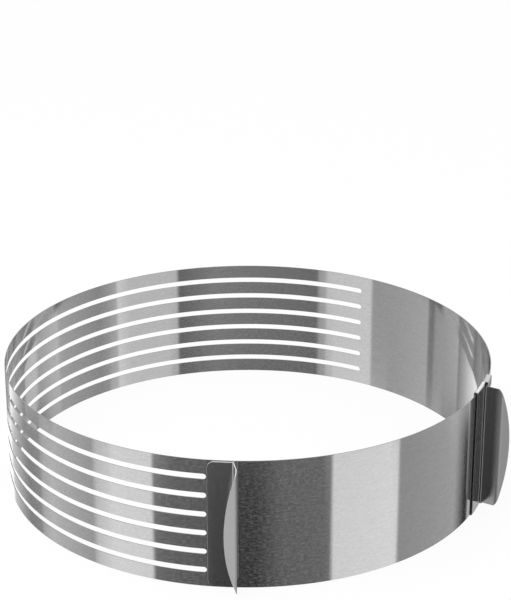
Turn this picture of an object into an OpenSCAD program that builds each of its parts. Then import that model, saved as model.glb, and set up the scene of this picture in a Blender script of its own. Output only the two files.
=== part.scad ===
// Adjustable ring for baking and slicing round cakes, drawn open at its largest size.
// The band is a strip coiled to a ring whose ends overlap. Ways along it are measured on its inner face
// from the front clip's fold: negative towards the inner end, positive round the back to the outer end.

/* [Band] */
// Inside diameter of the ring at its largest setting
open_diameter = 300; // [292:1:312]
// Inside diameter of the ring at its smallest setting
closed_diameter = 244; // [238:1:250]
// Height of the band
band_height = 80; // [70:1:95]
// Thickness of the sheet steel that every piece is made of
sheet = 0.5; // [0.4:0.05:0.7]
// Room between the two layers where the ends of the band overlap
layer_gap = 0.6; // [0.5:0.05:0.9]
// Where the front clip stands, in degrees from the ring's front towards its left
front_clip_angle = 3; // [0:0.5:12]

/* [Slots] */
// Number of knife slots, one above another
slot_count = 6; // [4:1:6]
// Height of a slot
slot_height = 3.3; // [2.5:0.1:4]
// Distance from one slot to the next
slot_pitch = 11.8; // [10:0.1:12.4]
// Distance from the front clip's fold to the slots' front ends
slot_start = 14.5; // [14.5:0.5:20]
// Length of plain band between the slots' back ends and the end clip's fold
plain_length = 204; // [193:1:218]

/* [Clips] */
// Width of a clip's flat plate, from its fold to its far edge
plate_width = 14; // [10:0.5:14]
// Distance from the plate's top and bottom edges to the band's rims
plate_margin = 0.7; // [0.5:0.1:4]
// Radius of the plate's far corners
plate_corner = 4; // [1:0.5:6]
// Room between a plate and the band that it is welded to
weld_gap = 0.05; // [0.02:0.01:0.1]
// Inside radius of the fold between plate and fin
fold_radius = 0.8; // [0.5:0.1:1.2]
// Lean of the fin away from its plate, from square to the band
fin_lean = 13; // [5:1:22]
// Length of the fin's flat root
fin_root = 8.1; // [5:0.1:9]
// Radius of the curl along the fin's outer part
curl_radius = 2.5; // [2:0.25:6]
// Angle that the curl turns the fin back over its plate
curl_angle = 68; // [40:1:80]
// How far the fin's rounded outer edge stands out from the band at mid height
fin_reach = 15.5; // [14:0.1:18]

// Direction that the fin's round edge is cut from, turned outwards from along the band
edge_turn = 60; // [30:5:60]

/* [End hooks] */
// Length of band that reaches past the end clip's fold and hooks over the inner layer
hook_length = 17; // [8:0.5:20]
// Width of the strip that hooks the inner end over the outer layer
inner_hook_width = 11; // [8:0.5:14]
// Depth of the hooks' lips below the top rim and above the bottom rim
hook_lip = 4.5; // [3:0.25:6]
// Room between the top rim and a hook
top_clearance = 1; // [0.5:0.1:1.5]
// Room between the bottom rim and a hook
bottom_clearance = 0.4; // [0.3:0.05:0.8]
// Room between a hook's lip and the layer or plate that it passes
lip_clearance = 0.6; // [0.5:0.05:1]
// Inside radius of the hooks' folds
hook_radius = 0.5; // [0.2:0.05:0.6]
// Room left between two pieces that stop against each other
stop_gap = 0.3; // [0.2:0.05:0.6]

/* [Stretches] */
// Length of band between one hinge and the next where the band is plain
plain_stretch = 33; // [30:1:45]
// Length of band between one hinge and the next where it is slotted
slotted_stretch = 55; // [50:1:80]

/* [Hidden] */
$fn = 96;

steel = [0.72, 0.72, 0.73];
clip_steel = [0.6, 0.6, 0.61];

// Radii of the band's inner face: the inner layer, the turn that leads outwards, and the outer layer
layer_step = sheet + layer_gap;
inner_r = open_diameter / 2;
turn_r = inner_r + layer_step / 2;
outer_r = inner_r + layer_step;

// Ways along the band
stop_room = fold_radius + sheet + stop_gap;
main_length = PI * (closed_diameter + layer_step) - hook_length - stop_room;
slot_end = main_length - plain_length;
end_cover = 17;
turn_start = slot_start + end_cover;
turn_end = slot_end - end_cover;
turn_angle = -front_clip_angle - degrees_of(turn_start, inner_r);
back_angle = turn_angle - degrees_of(turn_end - turn_start, turn_r);
end_clip_angle = back_angle + 360 - degrees_of(main_length - turn_end, outer_r);
inner_length = (end_clip_angle + front_clip_angle) * PI / 180 * inner_r + stop_gap + inner_hook_width;
outer_end = main_length + hook_length;

// The band's three arcs, each tangent to the next: radius, centre, way and angle at one end
turn_centre = -layer_step / 2 * outward(turn_angle);
back_centre = turn_centre - layer_step / 2 * outward(back_angle);
arcs = [
    [inner_r, [0, 0], 0, -front_clip_angle],
    [turn_r, turn_centre, turn_start, turn_angle],
    [outer_r, back_centre, turn_end, back_angle]
];

// How far a cut runs past what it cuts
cut_past = 1;

// Where one stretch of band ends and the next begins
clip_back = 8;
end_hold = plate_width + 4;
inner_cuts = even_cuts(-inner_length, -clip_back, plain_stretch);
slotted_cuts = even_cuts(turn_start, turn_end, slotted_stretch);
outer_cuts = even_cuts(slot_end + end_cover, main_length - end_hold, plain_stretch);

inner_names = numbered("inner_stretch_", len(inner_cuts) - 1);
slotted_names = numbered("slotted_stretch_", len(slotted_cuts) - 1);
outer_names = numbered("outer_stretch_", len(outer_cuts) - 1);

// Fin outline: a round edge through both corners of the root and the farthest point at mid height
fin_height = band_height - 2 * plate_margin;
fold_turn = 90 - fin_lean;
bend_r = fold_radius + sheet / 2;
fold_centre = [0, weld_gap + sheet / 2 + bend_r];
root_end = fold_centre + bend_r * outward(fold_turn) + fin_root * along(fold_turn);
curl_centre = root_end - curl_radius * outward(fold_turn);
tip_angle = fold_turn + curl_angle;
tip_start = curl_centre + curl_radius * outward(tip_angle);
tip_end = tip_start + (fin_reach - tip_start.y) / sin(tip_angle) * along(tip_angle);
edge_rise = past_cut(tip_end) - past_cut(root_end);
edge_radius = (pow(fin_height / 2, 2) + pow(edge_rise, 2)) / (2 * edge_rise);

// Radii of the hooks' faces
lip_inside_r = inner_r - lip_clearance - sheet;
strip_inside_r = inner_r - weld_gap - sheet;
lip_outside_r = outer_r + 2 * sheet + weld_gap + lip_clearance + sheet;

function degrees_of(way, radius) = way / radius * 180 / PI;
function spaced(from, to, count) = [for (i = [0:count]) from + (to - from) * i / count];
function even_cuts(from, to, length) = spaced(from, to, max(1, round((to - from) / length)));
function numbered(stem, count) = [for (i = [1:count]) str(stem, i)];
function outward(angle) = [sin(angle), -cos(angle)];
function along(angle) = [cos(angle), sin(angle)];
function past_cut(point) = point.y * cos(edge_turn) - point.x * sin(edge_turn);
function arc_at(way) = way < turn_start ? arcs[0] : way < turn_end ? arcs[1] : arcs[2];
function angle_on(arc, way) = arc[3] - degrees_of(way - arc[2], arc[0]);

// Moves children to a place on the band's inner face: X along it to the right, -Y outwards, Z up
module on_band(way) {
    arc = arc_at(way);
    translate(arc[1])
        rotate(angle_on(arc, way))
            translate([0, -arc[0], 0])
                children();
}

// Sweeps a flat outline, drawn as distance out from the band's inner face and height, along one arc
module swept(from, to) {
    arc = arc_at((from + to) / 2);
    translate(arc[1])
        rotate(angle_on(arc, to) - 90)
            rotate_extrude(angle = angle_on(arc, from) - angle_on(arc, to))
                translate([arc[0], 0])
                    children();
}

// A knife slot's full round end, its straight part running to the left (-1) or the right (1) for a length
module slot_end_cut(way, side, length) {
    depth = 2 * cut_past + length * length / inner_r;
    on_band(way)
        rotate([90, 0, 0])
            linear_extrude(height = sheet + 2 * depth, center = true) {
                circle(d = slot_height);
                translate([side < 0 ? -length : 0, -slot_height / 2])
                    square([length, slot_height]);
            }
}

// One knife slot, cut where it crosses the stretch from one way to another
module slot(z, from, to) {
    first = slot_start + slot_height / 2;
    last = slot_end - slot_height / 2;
    translate([0, 0, z]) {
        if (first > from)
            slot_end_cut(first, -1, to + cut_past - first);
        else if (last < to)
            slot_end_cut(last, 1, last + cut_past - from);
        else
            swept(from - cut_past, to + cut_past)
                translate([-cut_past, -slot_height / 2])
                    square([sheet + 2 * cut_past, slot_height]);
    }
}

// A stretch of the band between two ways
module stretch(from, to) {
    lowest = (band_height - (slot_count - 1) * slot_pitch) / 2;
    color(steel)
        difference() {
            swept(from, to)
                square([sheet, band_height]);
            if (to > slot_start && from < slot_end)
                for (i = [0:slot_count - 1])
                    slot(lowest + i * slot_pitch, from, to);
        }
}

// Points round a bend to the left, from one heading to another
function bend(centre, radius, from, to, steps) = [
    for (i = [0:steps]) centre + radius * outward(from + (to - from) * i / steps)
];

// One side of the fin seen from above, from the fold past the tip, at a distance left of its middle line
function fin_side(left) = concat(
    bend(fold_centre, bend_r - left, 0, fold_turn, 12),
    bend(curl_centre, curl_radius - left, fold_turn, tip_angle, 16),
    [tip_end + cut_past * along(tip_angle) - left * outward(tip_angle)]
);

// The fin with its fold, running along X and bending up towards Y, with its outer edge cut round
module fin() {
    right = fin_side(-sheet / 2);
    left = fin_side(sheet / 2);
    intersection() {
        translate([0, 0, plate_margin])
            linear_extrude(height = fin_height)
                polygon(concat(right, [for (i = [len(left) - 1:-1:0]) left[i]]));
        rotate(edge_turn)
            translate([0, past_cut(tip_end) - edge_radius, band_height / 2])
                rotate([0, 90, 0])
                    cylinder(r = edge_radius, h = 4 * fin_reach, center = true, $fn = 240);
    }
}

// Rectangle with its two left corners rounded, running past the fold on its right
module plate_outline() {
    translate([-plate_width, plate_margin + plate_corner])
        square([2 * plate_width, fin_height - 2 * plate_corner]);
    translate([plate_corner - plate_width, plate_margin])
        square([2 * plate_width, fin_height]);
    for (z = [plate_margin + plate_corner, plate_margin + fin_height - plate_corner])
        translate([plate_corner - plate_width, z])
            circle(r = plate_corner);
}

// The plate of a clip, curved to a band whose outer face has this radius, ending at the fold
module plate(face_r) {
    depth = face_r + 2 * plate_width;
    intersection() {
        translate([0, -face_r, 0])
            rotate(90)
                rotate_extrude(angle = degrees_of(plate_width + 1, face_r))
                    translate([face_r + weld_gap, 0])
                        square([sheet, band_height]);
        translate([0, depth - face_r, 0])
            rotate([90, 0, 0])
                linear_extrude(height = depth)
                    plate_outline();
    }
}

// A clip: plate and fin bent from one sheet, the plate along -X and the fin rising towards Y
module clip(face_r) {
    color(clip_steel)
        union() {
            plate(face_r);
            fin();
        }
}

module front_clip() {
    on_band(0)
        translate([0, -sheet, 0])
            rotate(180)
                mirror([1, 0, 0])
                    clip(inner_r + sheet);
}

module end_clip() {
    on_band(main_length)
        translate([0, -sheet, 0])
            rotate(180)
                clip(outer_r + sheet);
}

// Rectangle with round corners between two radii and two heights
module rounded_box(r0, r1, z0, z1, corner) {
    translate([r0 + corner, z0])
        square([r1 - r0 - 2 * corner, z1 - z0]);
    translate([r0, z0 + corner])
        square([r1 - r0, z1 - z0 - 2 * corner]);
    for (r = [r0 + corner, r1 - corner], z = [z0 + corner, z1 - corner])
        translate([r, z])
            circle(r = corner, $fn = 32);
}

// Section of a hook: a web on one side, folded over both rims to a short lip on the other side
module hook_section(r0, r1, lip_side) {
    low = -bottom_clearance;
    high = band_height + top_clearance;
    window_r = lip_side < 0 ? r0 - sheet : r1 - 2 * sheet;
    difference() {
        rounded_box(r0, r1, low - sheet, high + sheet, hook_radius + sheet);
        rounded_box(r0 + sheet, r1 - sheet, low, high, hook_radius);
        translate([window_r, hook_lip])
            square([3 * sheet, band_height - 2 * hook_lip]);
    }
}

// The C-shaped strip inside the inner end: over the rims and down outside the outer layer
module inner_end_hook() {
    color(clip_steel)
        swept(-inner_length, inner_hook_width - inner_length)
            hook_section(strip_inside_r - inner_r, lip_outside_r - inner_r, 1);
}

// The band's outer end past the end clip: over the rims and down inside the inner layer
module outer_end_hook() {
    color(steel)
        swept(main_length, outer_end)
            hook_section(lip_inside_r - outer_r, sheet, -1);
}

for (i = [0:len(inner_names) - 1])
    stretch(inner_cuts[i], inner_cuts[i + 1]);
stretch(-clip_back, turn_start);  // clip_stretch
for (i = [0:len(slotted_names) - 1])
    stretch(slotted_cuts[i], slotted_cuts[i + 1]);
stretch(slot_end - end_cover, slot_end + end_cover);  // slot_end_stretch
for (i = [0:len(outer_names) - 1])
    stretch(outer_cuts[i], outer_cuts[i + 1]);
stretch(main_length - end_hold, main_length);  // end_stretch
front_clip();
end_clip();
inner_end_hook();
outer_end_hook();
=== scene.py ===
import math
import bpy
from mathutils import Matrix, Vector


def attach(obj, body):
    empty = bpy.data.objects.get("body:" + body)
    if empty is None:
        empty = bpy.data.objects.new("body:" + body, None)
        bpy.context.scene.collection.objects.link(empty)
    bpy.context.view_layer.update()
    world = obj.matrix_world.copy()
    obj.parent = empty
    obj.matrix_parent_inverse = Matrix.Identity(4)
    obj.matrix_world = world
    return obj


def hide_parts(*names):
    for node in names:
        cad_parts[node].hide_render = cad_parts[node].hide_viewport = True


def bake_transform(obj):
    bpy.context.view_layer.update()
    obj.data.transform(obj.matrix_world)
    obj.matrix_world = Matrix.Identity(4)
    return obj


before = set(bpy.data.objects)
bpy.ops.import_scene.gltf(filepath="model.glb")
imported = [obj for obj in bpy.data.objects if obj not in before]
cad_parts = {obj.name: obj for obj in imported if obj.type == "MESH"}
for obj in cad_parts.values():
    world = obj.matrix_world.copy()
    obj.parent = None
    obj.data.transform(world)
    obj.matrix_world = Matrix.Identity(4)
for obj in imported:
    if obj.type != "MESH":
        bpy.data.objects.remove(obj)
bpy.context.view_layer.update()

up = Vector((0, 0, 1))
gridPerMetre = 1e7  # points that fall on the same place of this grid share a corner
tiny = 1e-9


def outward(angle):
    return Vector((math.sin(angle), -math.cos(angle), 0))


# A sheet is drawn flat as (u, v) and mapped to its bent shape, with softened cut edges. A place on a cut
# edge is (u, v on the face, u, v on the cut wall, direction outwards in u and v).
class SheetMesh:
    def __init__(self, mapping, depths, soft):
        self.mapping = mapping  # (u, v) to point, along u, along v, through the sheet
        self.depths = depths  # the two faces, measured through the sheet
        self.soft = soft
        self.points, self.index = [], {}
        self.faces, self.normals, self.maps, self.edge = [], [], [], []

    def corner(self, u, v, depth, normal):
        point, alongU, alongV, through = self.mapping(u, v)
        place = point + through * depth
        key = tuple(round(x * gridPerMetre) for x in place)
        if key not in self.index:
            self.index[key] = len(self.points)
            self.points.append(place)
        direction = alongU * normal[0] + alongV * normal[1] + through * normal[2]
        return self.index[key], direction, (u, v)

    def face(self, corners, edge):
        kept = []
        for c in corners:
            if c[0] not in [k[0] for k in kept]:
                kept.append(c)
        if len(kept) < 3:
            return
        a, b, c = (self.points[k[0]] for k in kept[:3])
        turned = (b - a).cross(c - b)
        if len(kept) > 3:
            turned += (c - a).cross(self.points[kept[3][0]] - b)
        if turned.dot(sum((k[1] for k in kept), Vector())) < 0:
            kept.reverse()
        self.faces.append([k[0] for k in kept])
        self.normals += [k[1].normalized() for k in kept]
        self.maps += [k[2] for k in kept]
        self.edge.append(1 if edge else 0)

    # the four corners through the sheet at one place of a cut edge: face, wall, wall, face
    def chain(self, edge):
        uF, vF, uW, vW, nu, nv = edge
        low, high = self.depths
        return [
            (uF, vF, high, (0, 0, 1)),
            (uW, vW, high - self.soft, (nu, nv, 0)),
            (uW, vW, low + self.soft, (nu, nv, 0)),
            (uF, vF, low, (0, 0, -1)),
        ]

    # both faces between two edges, with the cut walls along them where they are open
    def ribbon(self, lower, upper, walls=(True, True)):
        for k in range(len(lower) - 1):
            a, b, c, d = lower[k], lower[k + 1], upper[k + 1], upper[k]
            for depth, way in ((self.depths[1], 1), (self.depths[0], -1)):
                self.face([self.corner(e[0], e[1], depth, (0, 0, way)) for e in (a, b, c, d)], False)
            for isOpen, line in ((walls[0], lower), (walls[1], upper)):
                if isOpen and (line[k][4:] != (0, 0)) and (line[k + 1][4:] != (0, 0)):
                    self.strip(self.chain(line[k]), self.chain(line[k + 1]))

    def strip(self, first, second):
        for i in range(3):
            self.face([self.corner(*p) for p in (first[i], second[i], second[i + 1], first[i + 1])], True)

    # closes an end straight across
    def cap(self, lower, upper, nu):
        first, second = self.chain(lower), self.chain(upper)
        isSharp = abs(lower[0] - lower[2]) < tiny  # the end's corners aren't softened
        turned = range(4) if isSharp else (1, 2)
        for line in (first, second):
            for i in turned:
                line[i] = (*line[i][:3], (nu, 0, 0))
        self.strip(first, second)

    def build(self, name, *materials):
        mesh = bpy.data.meshes.new(name)
        mesh.from_pydata(self.points, [], self.faces)
        uvs = mesh.uv_layers.new(name="flat")
        for loop, uv in zip(uvs.data, self.maps):
            loop.uv = uv
        for material in materials:
            mesh.materials.append(material)
        for polygon, edge in zip(mesh.polygons, self.edge):
            polygon.use_smooth = True
            polygon.material_index = min(edge, len(materials) - 1)
        mesh.normals_split_custom_set(self.normals)
        mesh.validate()
        piece = bpy.data.objects.new(name, mesh)
        bpy.context.collection.objects.link(piece)
        return piece


def plainEdge(u, v, soft, nv):
    return (u, v - soft * nv, u, v, 0, nv)


# Points along a path of straight legs ("line", length, steps) and bends ("bend", radius, turn, steps)
def foldedPath(start, heading, legs):
    table, at, angle, way = [], Vector(start), heading, 0.0
    table.append((way, at.copy(), angle))
    for leg in legs:
        if leg[0] == "line":
            _, length, steps = leg
            for _ in range(steps):
                at = at + Vector((math.cos(angle), math.sin(angle))) * (length / steps)
                way += length / steps
                table.append((way, at.copy(), angle))
        else:
            _, radius, turn, steps = leg
            centre = at + Vector((-math.sin(angle), math.cos(angle))) * radius * (1 if turn > 0 else -1)
            for _ in range(steps):
                step = turn / steps
                offset = at - centre
                cos, sin = math.cos(step), math.sin(step)
                at = centre + Vector((offset.x * cos - offset.y * sin, offset.x * sin + offset.y * cos))
                angle += step
                way += abs(step) * radius
                table.append((way, at.copy(), angle))
    return table


# Point and heading on a path, at a distance along it
def alongPath(table, u):
    if u <= table[0][0]:
        return table[0][1], table[0][2]
    for a, b in zip(table, table[1:]):
        if u <= b[0]:
            share = (u - a[0]) / max(b[0] - a[0], tiny)
            return a[1].lerp(b[1], share), a[2] + (b[2] - a[2]) * share
    return table[-1][1], table[-1][2]


# One strip coiled to a ring: ways along it are counted in metres from the front clip's fold.
band = {
    "openDiameter": 0.300,
    "closedDiameter": 0.244,
    "height": 0.080,
    "sheet": 0.0005,
    "layerGap": 0.0006,
    "frontClipAngle": 3,  # degrees from the front towards the left
    "plainLength": 0.204,
    "plainStretch": 0.033,  # between hinges
    "slottedStretch": 0.055,
    "stopGap": 0.0003,
    "endCover": 0.017,
    "edgeRound": 0.00008,  # softened corner of the cut edges
    "columnStep": 0.0015,
    "roundLimit": 0.002,  # columns closer than this lie on a slot's round end
    "shortest": 1e-7,  # columns closer than this are one
    "slotCount": 6,
    "slotHeight": 0.0033,
    "slotPitch": 0.0118,
    "slotStart": 0.0145,
    "slotEndSteps": 6,  # mesh steps round a quarter of a slot's end
    "clipBack": 0.008,  # from the last inner hinge to the front clip's fold
    "endBack": 0.004,  # from the last outer hinge to the end clip's plate
    "clipHold": 0.001,  # past a clip's plate, where the band stays rigid
    "endHold": 0.0005,
    "slotHold": 0.006,  # keeps the seam between two pieces off the slots' ends
}


def bandMapping(u, v):
    point, along, out = onBand(u)
    return point + up * v, along, up, out


# Places along the band where a slot's outline has a corner: way on the face and the wall, half heights
def slotStations():
    radius, soft, steps = band["slotHeight"] / 2, band["edgeRound"], band["slotEndSteps"]
    found = []
    for centre, side in ((band["slotStart"] + radius, -1), (slotEnd - radius, 1)):
        for k in range(steps + 1):
            a = math.pi / 2 * k / steps
            cos, sin = (0.0, 1.0) if k == steps else (math.cos(a), math.sin(a))
            found.append((centre + side * (radius + soft) * cos, (radius + soft) * sin,
                          centre + side * radius * cos, radius * sin, -side * cos, sin))
    return sorted(found)


# Ways of the mesh columns, with the slots' round ends kept exact
def columnsBetween(first, last, stations):
    fixed = [first, last] + [w for w in (turnStart, turnEnd) if first < w < last]
    ends = [s[0] for s in stations if first < s[0] < last]
    marks = sorted(fixed + ends)
    ways = [first]
    for a, b in zip(marks, marks[1:]):
        if b - a < band["shortest"]:
            continue
        isRound = a in ends and b in ends and b - a < band["roundLimit"]
        count = 1 if isRound else max(1, round((b - a) / band["columnStep"]))
        ways += [a + (b - a) * i / count for i in range(1, count)] + [b]
    return ways


def bandPiece(name, first, last):
    soft, height, pitch = band["edgeRound"], band["height"], band["slotPitch"]
    sheet = SheetMesh(bandMapping, (0, band["sheet"]), soft)
    stations = slotStations()
    ways = columnsBetween(first, last, stations)
    byWay = {s[0]: s for s in stations}
    lowest = (height - (band["slotCount"] - 1) * pitch) / 2
    slotted = last > band["slotStart"] and first < slotEnd
    bottom = [plainEdge(w, 0.0, soft, -1) for w in ways]
    top = [plainEdge(w, height, soft, 1) for w in ways]
    lines = [bottom]
    for centre in [lowest + i * pitch for i in range(band["slotCount"])] if slotted else []:
        below, above = [], []
        for w in ways:
            if w in byWay:
                _, halfFace, wallWay, half, nu, nv = byWay[w]
                below.append((w, centre - halfFace, wallWay, centre - half, nu, nv))
                above.append((w, centre + halfFace, wallWay, centre + half, nu, -nv))
            elif stations[0][0] < w < stations[-1][0]:
                half = band["slotHeight"] / 2
                below.append((w, centre - half - soft, w, centre - half, 0, 1))
                above.append((w, centre + half + soft, w, centre + half, 0, -1))
            else:
                below.append((w, centre, w, centre, 0, 0))
                above.append((w, centre, w, centre, 0, 0))
        lines += [below, above]
    lines.append(top)
    for i in range(0, len(lines), 2):
        sheet.ribbon(lines[i], lines[i + 1])
    for k, nu in ((0, -1), (-1, 1)):
        if lines[1][k][4:] != (0, 0) or len(lines) == 2:
            for i in range(0, len(lines), 2):
                sheet.cap(lines[i][k], lines[i + 1][k], nu)
        else:
            sheet.cap(bottom[k], top[k], nu)
    return sheet.build(name, bandSteel, shearedEdge)


# Each clip is one bent sheet: plate, fold, flat root and curled fin
clip = {
    "plateWidth": 0.014,
    "plateMargin": 0.0007,
    "plateCorner": 0.004,
    "weldGap": 0.00005,
    "foldRadius": 0.0008,
    "finLean": 13,  # degrees from straight outwards
    "finRoot": 0.0081,
    "curlRadius": 0.0025,
    "curlAngle": 68,  # degrees
    "finReach": 0.0155,
    "edgeTurn": 60,  # degrees, direction that the fin's round edge is cut from
    "edgeRound": 0.0001,
    "plateSteps": 16,  # mesh steps along each part of the sheet
    "foldSteps": 14,
    "rootSteps": 4,
    "curlSteps": 30,
    "tipSteps": 6,
    "cornerSteps": 8,
    "edgeSteps": 30,
    "halvings": 40,  # to find a place on the fin's round edge
}


# side is -1 where the plate lies towards growing ways, as on the front clip, and 1 where it lies back
def clipPiece(name, way, side, material, edgeMaterial):
    sheet, soft = band["sheet"], clip["edgeRound"]
    faceRadius = arcAt(way)[0] + sheet
    plateRadius = faceRadius + clip["weldGap"] + sheet / 2
    plateTurn = clip["plateWidth"] / faceRadius
    foldTurn = math.radians(90 - clip["finLean"])
    curlTurn = math.radians(clip["curlAngle"])
    bend = clip["foldRadius"] + sheet / 2
    start = (-plateRadius * math.sin(plateTurn), plateRadius * math.cos(plateTurn) - faceRadius)
    legs = [
        ("bend", plateRadius, -plateTurn, clip["plateSteps"]),
        ("bend", bend, foldTurn, clip["foldSteps"]),
        ("line", clip["finRoot"], clip["rootSteps"]),
        ("bend", clip["curlRadius"], curlTurn, clip["curlSteps"]),
    ]
    bent = foldedPath(start, plateTurn, legs)
    left = (clip["finReach"] - bent[-1][1].y) / math.sin(bent[-1][2])
    path = foldedPath(start, plateTurn, legs + [("line", left, clip["tipSteps"])])
    foldStart = plateRadius * plateTurn
    rootEnd = foldStart + bend * foldTurn + clip["finRoot"]
    turn = math.radians(clip["edgeTurn"])

    def pastCut(u):
        place = alongPath(path, u)[0]
        return place.y * math.cos(turn) - place.x * math.sin(turn)

    half = band["height"] / 2 - clip["plateMargin"]
    farthest = pastCut(path[-1][0])
    rise = farthest - pastCut(rootEnd)
    edgeRadius = (half ** 2 + rise ** 2) / (2 * rise)
    outline = []  # u, half height, outward direction of the outline
    clear = 1e-6  # no two columns on the same place
    corner, steps = clip["plateCorner"], clip["cornerSteps"]
    for k in range(steps + 1):
        a = math.pi / 2 * k / steps
        along, inward = corner * (1 - math.cos(a)), corner * (1 - math.sin(a))
        outline.append((along, half - inward, -math.cos(a), math.sin(a)))
    outline += [(u, half, 0.0, 1.0) for u, _, _ in path if corner + clear < u < rootEnd - clear]
    widest = math.asin(half / edgeRadius)
    for k in range(clip["edgeSteps"] + 1):
        a = widest * (1 - k / clip["edgeSteps"])
        level = farthest - edgeRadius * (1 - math.cos(a))
        low, high = rootEnd, path[-1][0]
        for _ in range(clip["halvings"]):
            middle = (low + high) / 2
            low, high = (middle, high) if pastCut(middle) < level else (low, middle)
        u = (low + high) / 2
        nu, nv = math.cos(a) * math.sin(alongPath(path, u)[1] - turn), math.sin(a)
        size = math.hypot(nu, nv)
        outline.append((u, edgeRadius * math.sin(a), nu / size, nv / size))
    middle = band["height"] / 2
    lower = [(u - soft * nu, middle - h + soft * nv, u, middle - h, nu, -nv) for u, h, nu, nv in outline]
    upper = [(u - soft * nu, middle + h - soft * nv, u, middle + h, nu, nv) for u, h, nu, nv in outline]
    point, along, out = onBand(way)
    origin, across = point + out * sheet, along * side

    def mapping(u, v):
        place, heading = alongPath(path, u)
        cos, sin = math.cos(heading), math.sin(heading)
        return (origin + across * place.x + out * place.y + up * v,
                across * cos + out * sin, up, across * -sin + out * cos)

    mesh = SheetMesh(mapping, (-sheet / 2, sheet / 2), soft)
    mesh.ribbon(lower, upper)
    mesh.cap(lower[0], upper[0], -1)
    return mesh.build(name, material, edgeMaterial)


# Each hook is a strip folded over both rims, drawn as a section in distance outwards and height
hook = {
    "length": 0.017,
    "innerWidth": 0.011,
    "lip": 0.0045,
    "topClearance": 0.001,
    "bottomClearance": 0.0004,
    "lipClearance": 0.0006,
    "foldRadius": 0.0005,
    "edgeRound": 0.0001,
    "columns": 6,  # mesh columns along the band
    "foldSteps": 8,  # mesh steps along each part of the section
    "lipSteps": 2,
    "webSteps": 12,
}


# inside and outside are the section's faces, measured outwards from the band's inner face
def hookPiece(name, first, last, inside, outside, lipSide, material, edgeMaterial):
    sheet, soft = band["sheet"], hook["edgeRound"]
    bend = hook["foldRadius"] + sheet / 2
    lowest = -hook["bottomClearance"] - sheet / 2
    highest = band["height"] + hook["topClearance"] + sheet / 2
    web, lip = (outside - sheet / 2, inside + sheet / 2)
    if lipSide > 0:
        web, lip = lip, web
    across = abs(web - lip)
    quarter = math.pi / 2 * (1 if web > lip else -1)
    steps = hook["lipSteps"]
    fold = ("bend", bend, quarter, hook["foldSteps"])
    rim = ("line", across - 2 * bend, steps)
    lowerLip = ("line", hook["lip"] - lowest - bend, steps)
    upright = ("line", highest - lowest - 2 * bend, hook["webSteps"])
    upperLip = ("line", highest - bend - band["height"] + hook["lip"], steps)
    legs = [lowerLip, fold, rim, fold, upright, fold, rim, fold, upperLip]
    path = foldedPath((lip, hook["lip"]), -math.pi / 2, legs)

    def mapping(u, v):
        place, heading = alongPath(path, u)
        point, along, out = onBand(v)
        cos, sin = math.cos(heading), math.sin(heading)
        return (point + out * place.x + up * place.y, out * cos + up * sin, along, out * -sin + up * cos)

    columns = hook["columns"]
    ways = [first + (last - first) * i / columns for i in range(columns + 1)]
    mesh = SheetMesh(mapping, (-sheet / 2, sheet / 2), soft)
    stations = [u for u, _, _ in path]
    for i, (a, b) in enumerate(zip(ways, ways[1:])):
        isFirst, isLast = i == 0, i == columns - 1
        lower = [(u, a + soft * isFirst, u, a, 0, -isFirst) for u in stations]
        upper = [(u, b - soft * isLast, u, b, 0, int(isLast)) for u in stations]
        mesh.ribbon(lower, upper, (isFirst, isLast))
        for k, nu in ((0, -1), (-1, 1)):
            mesh.cap(lower[k], upper[k], nu)
    return mesh.build(name, material, edgeMaterial)


def evenCuts(first, last, length):
    count = max(1, round((last - first) / length))
    return [first + (last - first) * i / count for i in range(count + 1)]


layerStep = band["sheet"] + band["layerGap"]
innerRadius = band["openDiameter"] / 2
turnRadius = innerRadius + layerStep / 2
outerRadius = innerRadius + layerStep
stopRoom = clip["foldRadius"] + band["sheet"] + band["stopGap"]
mainLength = math.pi * (band["closedDiameter"] + layerStep) - hook["length"] - stopRoom
slotEnd = mainLength - band["plainLength"]
turnStart = band["slotStart"] + band["endCover"]
turnEnd = slotEnd - band["endCover"]
frontAngle = -math.radians(band["frontClipAngle"])
turnAngle = frontAngle - turnStart / innerRadius
backAngle = turnAngle - (turnEnd - turnStart) / turnRadius
endClipAngle = backAngle + 2 * math.pi - (mainLength - turnEnd) / outerRadius
innerLength = (endClipAngle - frontAngle) * innerRadius + band["stopGap"] + hook["innerWidth"]
outerEnd = mainLength + hook["length"]
turnCentre = outward(turnAngle) * (-layerStep / 2)
backCentre = turnCentre - outward(backAngle) * (layerStep / 2)


# Radius and centre of the arc that a place on the band lies on, and the way and angle where it begins
def arcAt(way):
    if way < turnStart:
        return innerRadius, Vector((0, 0, 0)), 0, frontAngle
    if way < turnEnd:
        return turnRadius, turnCentre, turnStart, turnAngle
    return outerRadius, backCentre, turnEnd, backAngle


# Point on the band's inner face at height 0, the way's direction and the direction outwards
def onBand(way):
    radius, centre, first, angle = arcAt(way)
    a = angle - (way - first) / radius
    return centre + outward(a) * radius, Vector((-math.cos(a), -math.sin(a), 0)), outward(a)


print("band laid out, %.1f mm from the front fold to the end fold" % (mainLength * 1000))


# One finish for each kind of steel surface. "curl" roughens a clip's fin where it's curled, and on the end
# clip the curled part is also lightened as a painted highlight; "fold" lightens the fold beside its plate as
# a painted highlight, and "stretch" draws reflections out across the grooves.
steelFinish = {
    "Brushed band steel": {"tone": 0.60, "roughness": 0.08, "stretch": 0.88, "ripple": 1.0},
    "Front clip steel": {"tone": 0.55, "roughness": 0.18, "stretch": 0.2, "grain": 0.3, "curl": 1.6},
    # the end clip's tone is set darker than the front clip's as painted shade, and its curled fin and fold
    # are lightened as painted highlights
    "End clip steel": {"tone": 0.28, "roughness": 0.18, "grain": 0.3, "curl": 1.6, "highlight": 0.6, "fold": 1.7},
    "Satin strip steel": {"tone": 0.46, "roughness": 0.30, "stretch": 0.2, "grain": 0.3},
    "Sheared edge": {"tone": 0.30, "roughness": 0.40, "grain": 0.5},
    "Tumbled edge": {"tone": 0.85, "roughness": 0.30, "grain": 0.5},
}

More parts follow.
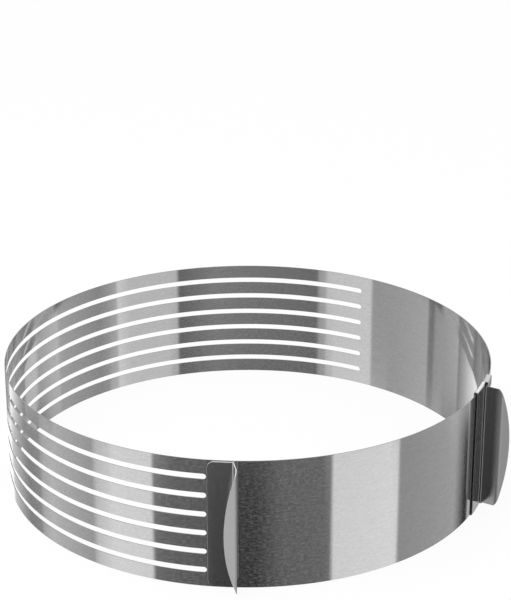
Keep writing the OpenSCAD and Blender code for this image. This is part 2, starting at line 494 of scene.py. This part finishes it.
# Noise for each kind of mark: scale along and across the sheet, detail, roughness
brushMarks = {
    "scratches": ((90, 1600, 1), 5, 0.75),  # short fine grooves
    "passes": ((6, 170, 1), 4, 0.6),  # long uneven passes
    "mottle": ((420, 640, 1), 3, 0.7),  # grainy look at arm's length
    "nicks": ((420, 1000, 1), 3, 0.75),  # torn spots in the grooves
    "ripple": ((24, 2.5, 1), 1, 0.4),  # slow buckling along the strip
    "buckle": ((105, 5, 1), 1, 0.3),  # short buckles on the plain end
    "smudge": ((40, 40, 1), 4, 0.6),  # handling
}

# How much each mark changes the tone, the mirror, the roughness and the height
brushAmounts = {
    "scratchTone": 0.42,
    "passTone": 0.06,
    "mottleTone": 0.34,
    "tint": (0.998, 0.995, 1.004),
    "grainLoss": 0.06,  # share of the mirror that the marks scatter
    "nickLoss": 0.85,
    "scratchLoss": 0.10,
    "plainRough": 0.9,
    "scratchRough": 0.5,
    "smudgeRough": 0.2,
    "rippleHeight": 0.00016,
    "buckleHeight": 0.00005,
    "scratchHeight": 0.000004,
    "buckleFrom": (0.575, 0.62),  # ways along the band where the short buckles begin and are full
    "buckleElsewhere": 0.12,
    "curlFrom": (0.0205, 0.0245),  # ways along a clip's sheet
    # middle and half width of the painted highlight on a clip's fold
    "foldHighlightMiddle": 0.0149,
    "foldHighlightHalf": 0.0009,
}


def addNode(tree, kind, place, **values):
    node = tree.nodes.new(kind)
    node.location = place
    for key, value in values.items():
        setattr(node, key, value)
    return node


# The node group that every steel shares: brushing along the sheet, nicks, slight buckling and smudges. It
# follows the flat map, which bends with the sheet.
def brushingGroup():
    group = bpy.data.node_groups.new("Sheet brushing", "ShaderNodeTree")
    face = group.interface
    for name, kind, start in (
        ("Flat map", "NodeSocketVector", None),
        ("Tone", "NodeSocketFloat", 0.6),
        ("Roughness", "NodeSocketFloat", 0.2),
        ("Grain", "NodeSocketFloat", 0.8),
        ("Ripple", "NodeSocketFloat", 0.1),
        ("Curl", "NodeSocketFloat", 0.0),
        ("Highlight", "NodeSocketFloat", 0.0),
        # the last two lighten a curled fin and a fold: painted highlights
        ("Fold", "NodeSocketFloat", 0.0),
    ):
        socket = face.new_socket(name=name, in_out="INPUT", socket_type=kind)
        if start is not None:
            socket.default_value = start
    for name in ("Color", "Roughness", "Metallic", "Height"):
        kind = "NodeSocketColor" if name == "Color" else "NodeSocketFloat"
        face.new_socket(name=name, in_out="OUTPUT", socket_type=kind)
    given = addNode(group, "NodeGroupInput", (-1500, 0))
    made = addNode(group, "NodeGroupOutput", (900, 0))
    link = group.links.new

    def marks(name, place):
        scale, detail, rough = brushMarks[name]
        stretch = addNode(group, "ShaderNodeMapping", (place[0] - 200, place[1]))
        stretch.inputs["Scale"].default_value = scale
        link(given.outputs["Flat map"], stretch.inputs["Vector"])
        node = addNode(group, "ShaderNodeTexNoise", place)
        node.inputs["Scale"].default_value = 1.0
        node.inputs["Detail"].default_value = detail
        node.inputs["Roughness"].default_value = rough
        link(stretch.outputs["Vector"], node.inputs["Vector"])
        return node.outputs["Fac"]

    def calc(operation, place, *values):
        node = addNode(group, "ShaderNodeMath", place, operation=operation)
        for socket, value in zip(node.inputs, values):
            if isinstance(value, (int, float)):
                socket.default_value = value
            else:
                link(value, socket)
        return node.outputs[0]

    def centred(value, place):
        return calc("SUBTRACT", place, value, 0.5)

    def ramped(value, limits, place):
        node = addNode(group, "ShaderNodeMapRange", place, interpolation_type="SMOOTHSTEP")
        node.inputs["From Min"].default_value = limits[0]
        node.inputs["From Max"].default_value = limits[1]
        link(value, node.inputs["Value"])
        return node

    scratches = centred(marks("scratches", (-1100, 500)), (-900, 500))
    passes = centred(marks("passes", (-1100, 250)), (-900, 250))
    mottle = centred(marks("mottle", (-1100, 0)), (-900, 0))
    nicks = centred(marks("nicks", (-1100, -125)), (-900, -125))
    ripple = marks("ripple", (-1100, -250))
    buckle = marks("buckle", (-1100, -500))
    smudge = marks("smudge", (-1100, -750))
    amounts = brushAmounts
    grain = given.outputs["Grain"]

    # 1 where a clip's fin is curled, and 1 in the middle of its fold; the first roughens the fin and places a
    # painted highlight, the second places a painted highlight on the fold
    parts = addNode(group, "ShaderNodeSeparateXYZ", (-1100, -950))
    link(given.outputs["Flat map"], parts.inputs[0])
    way = parts.outputs["X"]
    curled = ramped(way, amounts["curlFrom"], (-900, -1200)).outputs[0]
    offFold = calc("SUBTRACT", (-700, -1050), way, amounts["foldHighlightMiddle"])
    offFold = calc("ABSOLUTE", (-500, -1050), offFold)
    fold = calc("MULTIPLY_ADD", (-300, -1050), offFold, -1 / amounts["foldHighlightHalf"], 1.0)
    fold = calc("MAXIMUM", (-100, -1050), fold, 0.0)

    fine = calc("MULTIPLY", (-700, 500), scratches, grain)
    speckle = calc("MULTIPLY", (-500, 0), mottle, grain)
    shift = calc("MULTIPLY_ADD", (-500, 400), fine, amounts["scratchTone"], 1.0)
    shift = calc("MULTIPLY_ADD", (-300, 300), passes, amounts["passTone"], shift)
    shift = calc("MULTIPLY_ADD", (-100, 200), speckle, amounts["mottleTone"], shift)
    tone = calc("MULTIPLY", (100, 200), shift, given.outputs["Tone"])
    # the curled part of the fin is lightened, a painted highlight
    highlight = calc("MULTIPLY_ADD", (100, 50), curled, given.outputs["Highlight"], 1.0)
    # the middle of the fold is lightened, a painted highlight
    highlight = calc("MULTIPLY_ADD", (175, 50), fold, given.outputs["Fold"], highlight)
    tone = calc("MULTIPLY", (250, 200), tone, highlight)
    colour = addNode(group, "ShaderNodeCombineColor", (500, 200))
    for i, share in enumerate(amounts["tint"]):
        link(calc("MULTIPLY", (300, 300 - 150 * i), tone, share), colour.inputs[i])
    link(colour.outputs[0], made.inputs["Color"])

    # torn grooves scatter a little light, which shows as grain in the dark reflections
    torn = calc("MULTIPLY_ADD", (100, 0), grain, -amounts["grainLoss"], 1.0)
    nicked = calc("MULTIPLY", (100, -50), nicks, grain)
    torn = calc("MULTIPLY_ADD", (250, 0), nicked, -amounts["nickLoss"], torn)
    torn = calc("MULTIPLY_ADD", (400, 0), fine, -amounts["scratchLoss"], torn)
    link(calc("MINIMUM", (550, 0), torn, 1.0), made.inputs["Metallic"])

    rough = calc("MULTIPLY_ADD", (-300, -200), fine, amounts["scratchRough"], amounts["plainRough"])
    rough = calc("MULTIPLY_ADD", (-100, -200), smudge, amounts["smudgeRough"], rough)
    rougher = calc("MULTIPLY_ADD", (-100, -100), curled, given.outputs["Curl"], 1.0)
    rough = calc("MULTIPLY", (0, -200), rough, rougher)
    link(calc("MULTIPLY", (100, -200), rough, given.outputs["Roughness"]), made.inputs["Roughness"])

    # the plain end has no slots to relax it and keeps the short buckles
    plain = ramped(way, amounts["buckleFrom"], (-900, -950))
    plain.inputs["To Min"].default_value = amounts["buckleElsewhere"]
    short = calc("MULTIPLY", (-700, -600), buckle, plain.outputs[0])
    wave = calc("MULTIPLY", (-500, -300), ripple, amounts["rippleHeight"])
    wave = calc("MULTIPLY_ADD", (-300, -400), short, amounts["buckleHeight"], wave)
    wave = calc("MULTIPLY", (-100, -400), wave, given.outputs["Ripple"])
    wave = calc("MULTIPLY_ADD", (100, -400), fine, amounts["scratchHeight"], wave)
    link(wave, made.inputs["Height"])
    return group


brushing = brushingGroup()


def steel(name):
    finish = steelFinish[name]
    material = bpy.data.materials.new(name)
    material.use_nodes = True
    tree = material.node_tree
    tree.nodes.clear()
    out = addNode(tree, "ShaderNodeOutputMaterial", (600, 0))
    shader = addNode(tree, "ShaderNodeBsdfPrincipled", (300, 0))
    flat = addNode(tree, "ShaderNodeUVMap", (-500, 0), uv_map="flat")
    pattern = addNode(tree, "ShaderNodeGroup", (-250, 0), node_tree=brushing)
    bump = addNode(tree, "ShaderNodeBump", (50, -200))
    along = addNode(tree, "ShaderNodeTangent", (50, -400), direction_type="UV_MAP", uv_map="flat")
    for key in ("Tone", "Roughness", "Grain", "Ripple", "Curl", "Highlight", "Fold"):
        if key.lower() in finish:
            pattern.inputs[key].default_value = finish[key.lower()]
    shader.inputs["Anisotropic"].default_value = finish.get("stretch", 0.0)
    shader.inputs["Anisotropic Rotation"].default_value = 0.25  # blurs across the grooves
    bump.inputs["Strength"].default_value = 1.0
    bump.inputs["Distance"].default_value = 1.0
    link = tree.links.new
    link(flat.outputs["UV"], pattern.inputs["Flat map"])
    link(pattern.outputs["Color"], shader.inputs["Base Color"])
    link(pattern.outputs["Roughness"], shader.inputs["Roughness"])
    link(pattern.outputs["Metallic"], shader.inputs["Metallic"])
    link(pattern.outputs["Height"], bump.inputs["Height"])
    link(bump.outputs["Normal"], shader.inputs["Normal"])
    link(along.outputs["Tangent"], shader.inputs["Tangent"])
    link(shader.outputs[0], out.inputs["Surface"])
    return material


bandSteel = steel("Brushed band steel")
frontSteel = steel("Front clip steel")
# the end clip's steel carries painted shade in its darker tone and painted highlights on its fin
endSteelPaintedLight = steel("End clip steel")
stripSteel = steel("Satin strip steel")
shearedEdge = steel("Sheared edge")
tumbledEdge = steel("Tumbled edge")
print("materials made")


# The band is made in pieces that each reach over one hinge between two stretches
innerCuts = evenCuts(-innerLength, -band["clipBack"], band["plainStretch"])
slottedCuts = evenCuts(turnStart, turnEnd, band["slottedStretch"])
outerLast = mainLength - clip["plateWidth"] - band["endBack"]
outerCuts = evenCuts(slotEnd + band["endCover"], outerLast, band["plainStretch"])
cuts = innerCuts + slottedCuts + outerCuts + [mainLength]
stretches = (
    ["inner_stretch_%d" % i for i in range(1, len(innerCuts))]
    + ["clip_stretch"]
    + ["slotted_stretch_%d" % i for i in range(1, len(slottedCuts))]
    + ["slot_end_stretch"]
    + ["outer_stretch_%d" % i for i in range(1, len(outerCuts))]
    + ["end_stretch"]
)
held = [[(a + b) / 2] * 2 for a, b in zip(cuts, cuts[1:])]  # the part of each stretch that doesn't bend
held[0] = [-innerLength, -innerLength + hook["innerWidth"]]
held[stretches.index("clip_stretch")] = [-band["clipHold"], clip["plateWidth"] + band["clipHold"]]
held[stretches.index("slot_end_stretch")] = [slotEnd + band["slotHold"]] * 2
held[-1] = [mainLength - clip["plateWidth"] - band["endHold"], mainLength]

centres = [(a + b) / 2 for a, b in held]
centres[0], centres[-1] = -innerLength, mainLength
for i in range(len(stretches) - 1):
    piece = bandPiece("band_bend_%d" % (i + 1), centres[i], centres[i + 1])
    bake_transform(piece)
    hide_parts(stretches[i], stretches[i + 1])
print("band made in", len(stretches) - 1, "pieces")


def settle(piece, body, node):
    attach(piece, body)
    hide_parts(node)


settle(clipPiece("front_finger_clip", 0.0, -1, frontSteel, tumbledEdge),
       "clip_stretch", "front_clip")
settle(clipPiece("end_finger_clip", mainLength, 1, endSteelPaintedLight, shearedEdge),
       "end_stretch", "end_clip")
print("clips made")

lipInside = innerRadius - hook["lipClearance"] - band["sheet"]
stripInside = innerRadius - clip["weldGap"] - band["sheet"]
sheetsUnder = 3  # the outer layer, a clip's plate and the lip itself
lipOutside = outerRadius + sheetsUnder * band["sheet"] + clip["weldGap"] + hook["lipClearance"]
settle(hookPiece("outer_end_fold", mainLength, outerEnd, lipInside - outerRadius, band["sheet"], -1,
                 bandSteel, shearedEdge), "end_stretch", "outer_end_hook")
settle(hookPiece("inner_end_strip", -innerLength, hook["innerWidth"] - innerLength,
                 stripInside - innerRadius, lipOutside - innerRadius, 1,
                 stripSteel, tumbledEdge), "inner_stretch_1", "inner_end_hook")
print("hooks made")


# Floor and light. The cards are softboxes and dark panels round the ring: from azimuth, to azimuth (0 is
# towards the camera, growing to the right) and brightness at both ends. The near ones show in the outer
# face, the far ones in the inner face, which the camera sees at a flatter angle.
studio = {
    "floorLevel": -0.00095,
    "floorSize": 6.0,
    "floorTone": 0.9,
    "whiteShare": 0.92,  # how much of the floor's brightness stays in the shadow
    "diffuseLevel": 0.9,
    "nearToFar": (-0.434, -0.421),  # sine of the ray's rise where the near cards give way to the far ones
    "overhead": 1.35,
    "overheadFrom": (0.10, 0.32),  # sine of the ray's rise where the overhead light begins and is full
    "cardEdge": 0.2,  # degrees
    "nearCards": [
        (-180, -152, 1.62, 1.20), (-152, -126, 0.78, 0.29), (-126, -114, 0.29, 0.37),
        (-114, -104, 0.59, 0.75), (-104, -76, 0.70, 0.46), (-76, -66, 0.81, 1.02),
        (-66, -44, 1.06, 1.00), (-44, -18, 0.18, 0.12), (-18, 3, 0.05, 0.045),
        (3, 17, 0.035, 0.155), (17, 40, 0.15, 0.19), (40, 75.7, 1.00, 1.10), (75.7, 117, 0.39, 0.50),
        (117, 127.5, 0.46, 0.01), (127.5, 131, 0.01, 0.01),
        (131, 163, 0.60, 0.42), (163, 180, 0.72, 1.25),
    ],
    "farCards": [
        (-180, -152, 0.05, 0.52), (-152, -127, 1.38, 0.26), (-127, -124, 0.63, 0.57),
        (-124, -106, 0.57, 0.42), (-106, -102, 0.235, 0.235), (-102, -65.4, 0.57, 0.43),
        (-65.4, -40.6, 0.90, 0.86), (-40.6, -36, 0.60, 0.50), (-36, 17, 0.195, 0.30),
        (17, 36, 0.30, 0.17), (36, 62, 0.74, 0.76), (62, 69.5, 0.76, 0.96),
        (69.5, 80, 0.57, 0.37), (80, 109, 0.37, 0.57), (109, 128, 0.75, 0.55),
        (128, 143, 0.80, 0.68), (143, 165, 0.36, 0.39), (165, 180, 0.75, 0.95),
    ],
}


def makeFloor():
    size, level = studio["floorSize"] / 2, studio["floorLevel"]
    mesh = bpy.data.meshes.new("floor")
    corners = ((-size, -size), (size, -size), (size, size), (-size, size))
    mesh.from_pydata([(x, y, level) for x, y in corners], [], [(0, 1, 2, 3)])
    floor = bpy.data.objects.new("floor", mesh)
    bpy.context.collection.objects.link(floor)
    floor.visible_glossy = False
    material = bpy.data.materials.new("Pale floor")
    material.use_nodes = True
    tree = material.node_tree
    tree.nodes.clear()
    link = tree.links.new
    out = addNode(tree, "ShaderNodeOutputMaterial", (600, 0))
    blend = addNode(tree, "ShaderNodeMixShader", (400, 0))
    matte = addNode(tree, "ShaderNodeBsdfDiffuse", (100, 100))
    matte.inputs["Color"].default_value = (studio["floorTone"],) * 3 + (1,)
    white = addNode(tree, "ShaderNodeEmission", (100, -100))
    path = addNode(tree, "ShaderNodeLightPath", (-300, 200))
    seen = addNode(tree, "ShaderNodeMath", (-100, 200), operation="MAXIMUM")
    share = addNode(tree, "ShaderNodeMath", (100, 300), operation="MULTIPLY")
    share.inputs[1].default_value = studio["whiteShare"]
    link(path.outputs["Is Camera Ray"], seen.inputs[0])
    link(path.outputs["Is Transmission Ray"], seen.inputs[1])
    link(seen.outputs[0], share.inputs[0])
    link(share.outputs[0], blend.inputs[0])
    link(matte.outputs[0], blend.inputs[1])
    link(white.outputs[0], blend.inputs[2])
    # nothing of it shows from below
    sides = addNode(tree, "ShaderNodeNewGeometry", (300, 300))
    clear = addNode(tree, "ShaderNodeBsdfTransparent", (300, -200))
    oneSided = addNode(tree, "ShaderNodeMixShader", (500, 0))
    link(sides.outputs["Backfacing"], oneSided.inputs[0])
    link(blend.outputs[0], oneSided.inputs[1])
    link(clear.outputs[0], oneSided.inputs[2])
    link(oneSided.outputs[0], out.inputs["Surface"])
    mesh.materials.append(material)


def makeStudio():
    world = bpy.data.worlds.new("Studio")
    bpy.context.scene.world = world
    world.use_nodes = True
    tree = world.node_tree
    tree.nodes.clear()
    link = tree.links.new
    out = addNode(tree, "ShaderNodeOutputWorld", (1000, 0))
    way = addNode(tree, "ShaderNodeTexCoord", (-800, 0))
    parts = addNode(tree, "ShaderNodeSeparateXYZ", (-600, 0))
    link(way.outputs["Generated"], parts.inputs[0])
    back = addNode(tree, "ShaderNodeMath", (-450, -100), operation="MULTIPLY")
    back.inputs[1].default_value = -1
    link(parts.outputs["Y"], back.inputs[0])
    azimuth = addNode(tree, "ShaderNodeMath", (-300, 0), operation="ARCTAN2")
    link(parts.outputs["X"], azimuth.inputs[0])
    link(back.outputs[0], azimuth.inputs[1])
    share = addNode(tree, "ShaderNodeMath", (-150, 0), operation="MULTIPLY_ADD")
    share.inputs[1].default_value = 1 / (2 * math.pi)
    share.inputs[2].default_value = 0.5
    link(azimuth.outputs[0], share.inputs[0])

    def cardRamp(cards, place):
        ramp = addNode(tree, "ShaderNodeValToRGB", place)
        link(share.outputs[0], ramp.inputs[0])
        stops = ramp.color_ramp.elements
        marks = []
        for start, end, first, last in cards:
            if not marks or marks[-1][1] != first:
                marks.append((start + studio["cardEdge"], first))
            marks.append((end - studio["cardEdge"], last))
        for i, (angle, level) in enumerate(marks):
            at = (angle + 180) / 360
            stop = stops[i] if i < 2 else stops.new(at)
            stop.position = at
            stop.color = (level, level, level, 1)
        return ramp.outputs[0]

    def heightMask(low, high, place):
        mask = addNode(tree, "ShaderNodeMapRange", place, interpolation_type="SMOOTHSTEP")
        mask.inputs["From Min"].default_value = low
        mask.inputs["From Max"].default_value = high
        link(parts.outputs["Z"], mask.inputs["Value"])
        return mask.outputs[0]

    def mixed(factor, first, second, place):
        node = addNode(tree, "ShaderNodeMix", place, data_type="RGBA")
        link(factor, node.inputs["Factor"])
        for socket, value in ((node.inputs["A"], first), (node.inputs["B"], second)):
            if isinstance(value, float):
                socket.default_value = (value, value, value, 1)
            else:
                link(value, socket)
        return node.outputs["Result"]

    near, far = cardRamp(studio["nearCards"], (0, 0)), cardRamp(studio["farCards"], (0, -250))
    sides = mixed(heightMask(*studio["nearToFar"], (0, 250)), near, far, (250, 0))
    whole = mixed(heightMask(*studio["overheadFrom"], (0, 500)), sides, studio["overhead"], (400, 300))
    cards = addNode(tree, "ShaderNodeBackground", (500, 100))
    link(whole, cards.inputs["Color"])
    soft = addNode(tree, "ShaderNodeBackground", (400, -50))
    soft.inputs["Color"].default_value = (studio["diffuseLevel"],) * 3 + (1,)
    white = addNode(tree, "ShaderNodeBackground", (400, -200))
    white.inputs["Color"].default_value = (1, 1, 1, 1)
    path = addNode(tree, "ShaderNodeLightPath", (200, 400))
    first = addNode(tree, "ShaderNodeMixShader", (600, 0))
    second = addNode(tree, "ShaderNodeMixShader", (800, 0))
    link(path.outputs["Is Glossy Ray"], first.inputs[0])
    link(soft.outputs[0], first.inputs[1])
    link(cards.outputs[0], first.inputs[2])
    seen = addNode(tree, "ShaderNodeMath", (500, 400), operation="MAXIMUM")
    link(path.outputs["Is Camera Ray"], seen.inputs[0])
    link(path.outputs["Is Transmission Ray"], seen.inputs[1])
    link(seen.outputs[0], second.inputs[0])
    link(first.outputs[0], second.inputs[1])
    link(white.outputs[0], second.inputs[2])
    link(second.outputs[0], out.inputs["Surface"])


# Puts a lamp's or camera's data in the scene, looking from its place to its target
def aim(name, data, place, target):
    holder = bpy.data.objects.new(name, data)
    bpy.context.collection.objects.link(holder)
    holder.location = place
    holder.rotation_euler = (Vector(target) - Vector(place)).to_track_quat("-Z", "Y").to_euler()
    return holder


# The lamp gives the soft shadow under the ring and doesn't show in the steel
keyLamp = {
    "place": (-0.5, -0.4, 1.2),
    "target": (0, 0, 0),
    "size": 0.8,
    "power": 6,
}


def makeLamp():
    lamp = bpy.data.lights.new("Key lamp", "AREA")
    lamp.shape = "DISK"
    lamp.size = keyLamp["size"]
    lamp.energy = keyLamp["power"]
    aim("Key lamp", lamp, keyLamp["place"], keyLamp["target"]).visible_glossy = False


makeFloor()
makeStudio()
makeLamp()
print("studio made")

view = {
    "lens": 110.72,
    "sensor": 36,
    "reach": (0.01, 100),
    "place": (0.005114, -1.0592, 0.5412),
    "target": (0.005114, 0.0, 0.114995),
}
camera = bpy.data.cameras.new("Camera")
camera.lens = view["lens"]
camera.sensor_width = view["sensor"]
camera.clip_start, camera.clip_end = view["reach"]
bpy.context.scene.camera = aim("Camera", camera, view["place"], view["target"])
bpy.context.scene.view_settings.view_transform = "Standard"
